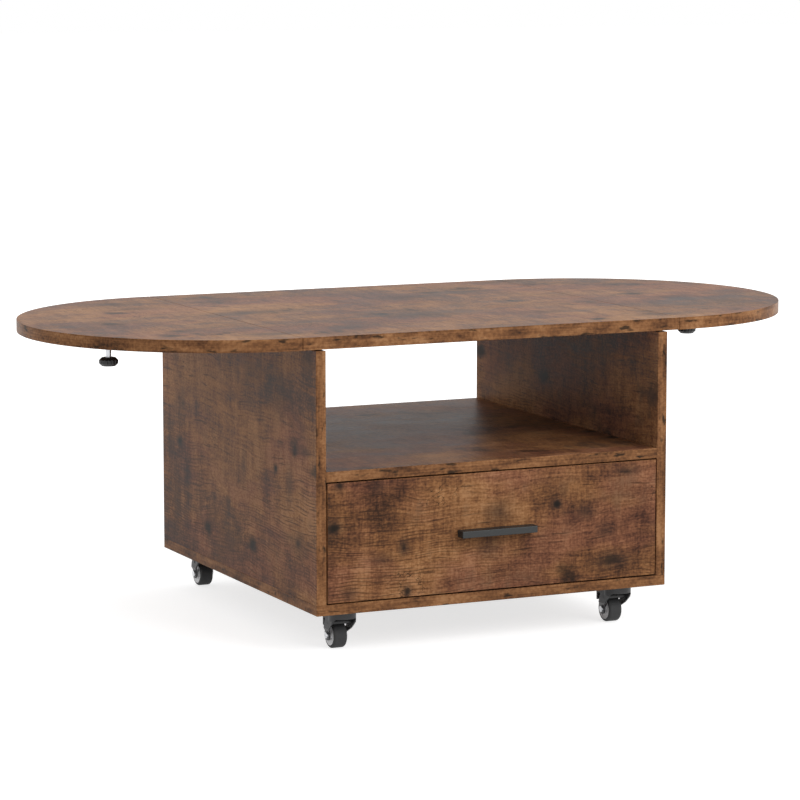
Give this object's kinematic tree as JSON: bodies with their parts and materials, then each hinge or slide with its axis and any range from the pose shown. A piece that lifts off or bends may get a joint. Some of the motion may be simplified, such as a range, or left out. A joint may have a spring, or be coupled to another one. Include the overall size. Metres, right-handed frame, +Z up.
{
  "type": "extendable coffee table",
  "caption": "Coffee table on casters with half-round drop leaves, an open shelf and a drawer; the leaves fold down at hinged seams to make a square table.",
  "frame": {"origin": "on the floor, in the middle of the table's box", "axes": "+X along the front towards the right-hand leaf, +Y from the drawer to the back, +Z up"},
  "size_m": [1.2, 0.616, 0.457],
  "materials": {
    "rustic_board": "rustic brown laminate on board, semi-gloss",
    "drawer_board": "plain brown foil on board",
    "hardboard": "smooth hardboard",
    "dowel_wood": "bare beech",
    "zinc_steel": "zinc plated",
    "brass_insert": "bright",
    "black_plastic": "moulded, satin",
    "black_metal": "satin black paint",
    "fork_paint": "satin black paint",
    "hub_plastic": "moulded, light grey",
    "tyre_rubber": "matt dark grey",
    "pedal_plastic": "moulded, black",
    "axle_steel": "zinc plated"
  },
  "bodies": {
    "cabinet": {"bottom_panel": "rustic_board", "right_side_panel": "rustic_board", "left_side_panel": "rustic_board", "shelf": "rustic_board", "back_panel": "rustic_board", "confirmat_screws": "zinc_steel", "panel_dowels": "dowel_wood", "shelf_cam_fittings": "zinc_steel", "centre_top": "rustic_board", "top_brackets": "zinc_steel", "cabinet_wood_screws": "zinc_steel", "hinge_fixed_wings": "zinc_steel", "hinge_pins": "zinc_steel", "right_runner_outer": "zinc_steel", "left_runner_outer": "zinc_steel", "caster_plates": "black_metal", "caster_kingpins": "zinc_steel", "caster_screws": "zinc_steel"},
    "left_leaf": {"left_leaf": "rustic_board", "left_hinge_moving_wings": "zinc_steel", "left_leaf_screws": "zinc_steel", "left_knob_insert": "brass_insert"},
    "right_leaf": {"right_leaf": "rustic_board", "right_hinge_moving_wings": "zinc_steel", "right_leaf_screws": "zinc_steel", "right_knob_insert": "brass_insert"},
    "left_knob": {"left_knob": "black_plastic", "left_knob_stud": "zinc_steel"},
    "right_knob": {"right_knob": "black_plastic", "right_knob_stud": "zinc_steel"},
    "drawer": {"drawer_front": "rustic_board", "drawer_left_side": "drawer_board", "drawer_right_side": "drawer_board", "drawer_back": "drawer_board", "drawer_bottom": "hardboard", "drawer_dowels": "dowel_wood", "drawer_handle": "black_metal", "drawer_screws": "zinc_steel", "left_runner_inner": "zinc_steel", "right_runner_inner": "zinc_steel"},
    "left_ball_cage": {"left_runner_ball_cage": "zinc_steel"},
    "right_ball_cage": {"right_runner_ball_cage": "zinc_steel"},
    "front_left_swivel": {"front_left_fork": "fork_paint", "front_left_axle": "axle_steel"},
    "front_left_wheel": {"front_left_hub": "hub_plastic", "front_left_tyre": "tyre_rubber"},
    "front_right_swivel": {"front_right_fork": "fork_paint", "front_right_axle": "axle_steel"},
    "front_right_wheel": {"front_right_hub": "hub_plastic", "front_right_tyre": "tyre_rubber"},
    "rear_left_swivel": {"rear_left_fork": "fork_paint", "rear_left_axle": "axle_steel"},
    "rear_left_wheel": {"rear_left_hub": "hub_plastic", "rear_left_tyre": "tyre_rubber"},
    "rear_right_swivel": {"rear_right_fork": "fork_paint", "rear_right_axle": "axle_steel"},
    "rear_right_wheel": {"rear_right_hub": "hub_plastic", "rear_right_tyre": "tyre_rubber"},
    "front_left_brake": {"front_left_brake_pedal": "pedal_plastic"},
    "front_right_brake": {"front_right_brake_pedal": "pedal_plastic"}
  },
  "joints": [
    {"name": "left_leaf_hinge", "type": "hinge", "parent": "cabinet", "child": "left_leaf", "pos_m": [-0.3, 0.008, 0.435], "axis": [0, -1, 0], "range_deg": [0, 82.8]},
    {"name": "left_knob_turn", "type": "hinge", "parent": "left_leaf", "child": "left_knob", "pos_m": [-0.48, 0, 0.394], "axis": [0, 0, 1], "continuous": true},
    {"name": "right_leaf_hinge", "type": "hinge", "parent": "cabinet", "child": "right_leaf", "pos_m": [0.3, 0.008, 0.435], "axis": [0, 1, 0], "range_deg": [0, 82.8]},
    {"name": "right_knob_turn", "type": "hinge", "parent": "right_leaf", "child": "right_knob", "pos_m": [0.48, 0, 0.394], "axis": [0, 0, 1], "continuous": true},
    {"name": "drawer_slide", "type": "slide", "parent": "cabinet", "child": "drawer", "axis": [0, -1, 0], "range_m": [0, 0.34]},
    {"name": "left_cage_roll", "type": "slide", "parent": "cabinet", "child": "left_ball_cage", "axis": [0, -1, 0], "range_m": [0, 0.17]},
    {"name": "right_cage_roll", "type": "slide", "parent": "cabinet", "child": "right_ball_cage", "axis": [0, -1, 0], "range_m": [0, 0.17]},
    {"name": "front_left_swivel", "type": "hinge", "parent": "cabinet", "child": "front_left_swivel", "pos_m": [-0.223, -0.25, 0.059], "axis": [0, 0, 1], "continuous": true},
    {"name": "front_left_wheel_spin", "type": "hinge", "parent": "front_left_swivel", "child": "front_left_wheel", "pos_m": [-0.223, -0.228, 0.019], "axis": [1, 0, 0], "continuous": true},
    {"name": "front_left_brake_release", "type": "hinge", "parent": "front_left_swivel", "child": "front_left_brake", "pos_m": [-0.223, -0.242, 0.04], "axis": [1, 0, 0], "range_deg": [0, 10]},
    {"name": "front_right_swivel", "type": "hinge", "parent": "cabinet", "child": "front_right_swivel", "pos_m": [0.223, -0.25, 0.059], "axis": [0, 0, 1], "continuous": true},
    {"name": "front_right_wheel_spin", "type": "hinge", "parent": "front_right_swivel", "child": "front_right_wheel", "pos_m": [0.223, -0.228, 0.019], "axis": [1, 0, 0], "continuous": true},
    {"name": "front_right_brake_release", "type": "hinge", "parent": "front_right_swivel", "child": "front_right_brake", "pos_m": [0.223, -0.242, 0.04], "axis": [1, 0, 0], "range_deg": [0, 10]},
    {"name": "rear_left_swivel", "type": "hinge", "parent": "cabinet", "child": "rear_left_swivel", "pos_m": [-0.223, 0.266, 0.059], "axis": [0, 0, 1], "continuous": true},
    {"name": "rear_left_wheel_spin", "type": "hinge", "parent": "rear_left_swivel", "child": "rear_left_wheel", "pos_m": [-0.223, 0.288, 0.019], "axis": [1, 0, 0], "continuous": true},
    {"name": "rear_right_swivel", "type": "hinge", "parent": "cabinet", "child": "rear_right_swivel", "pos_m": [0.223, 0.266, 0.059], "axis": [0, 0, 1], "continuous": true},
    {"name": "rear_right_wheel_spin", "type": "hinge", "parent": "rear_right_swivel", "child": "rear_right_wheel", "pos_m": [0.223, 0.288, 0.019], "axis": [1, 0, 0], "continuous": true}
  ],
  "couplings": [
    {"joint": "left_cage_roll", "follows": "drawer_slide", "ratio": 0.5},
    {"joint": "right_cage_roll", "follows": "drawer_slide", "ratio": 0.5}
  ]
}
